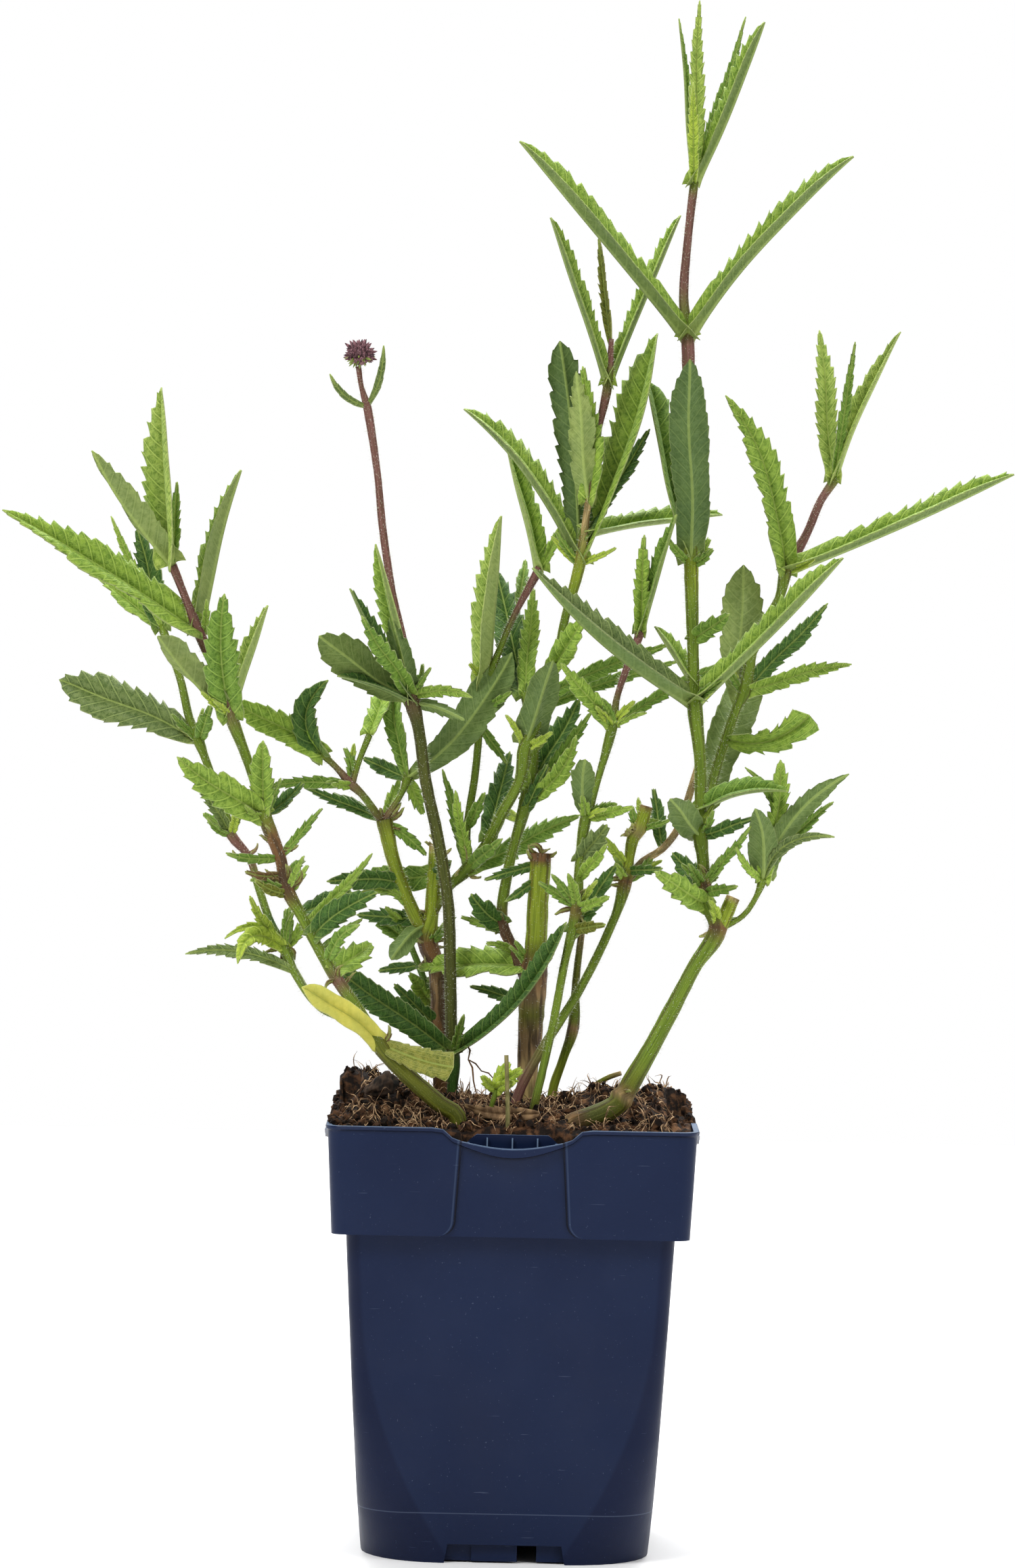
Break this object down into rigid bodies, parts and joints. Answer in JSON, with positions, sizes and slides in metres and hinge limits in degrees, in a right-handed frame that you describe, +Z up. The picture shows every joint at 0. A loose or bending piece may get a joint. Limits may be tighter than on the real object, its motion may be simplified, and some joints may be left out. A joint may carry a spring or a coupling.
{
  "type": "potted purpletop vervain",
  "caption": "Young leafy vervain with toothed clasping leaves and a small purple head, standing in the soil of a square nursery pot.",
  "frame": {"origin": "middle of the pot's base, on the underside of its middle foot", "axes": "+Z up along the plant, front of the pot toward -Y"},
  "size_m": [0.3041, 0.1128, 0.4708],
  "materials": {
    "pot_plastic": "fine satin grain, navy",
    "peat": "crumbly, dull",
    "leaf_green": "rough, hairy, with paler veins",
    "brown_stem": "dull bark",
    "purple_bud": "matt",
    "bark": "dull",
    "dry_leaf": "dry, matt"
  },
  "bodies": {
    "root": {"pot": "pot_plastic", "soil": "peat", "leafy_stem_left": "leaf_green", "leafy_stem_flowering": "leaf_green", "leafy_stem_cut_left": "leaf_green", "leafy_stem_cut_right": "leaf_green", "leafy_stem_slender": "leaf_green", "leafy_stem_diagonal": "leaf_green", "leafy_stem_tall": "leaf_green", "stem_short": "brown_stem", "flower_head": "purple_bud", "bark_chunk": "bark", "seedling": "leaf_green", "thin_stick": "brown_stem", "dead_leaf": "dry_leaf"}
  },
  "joints": []
}
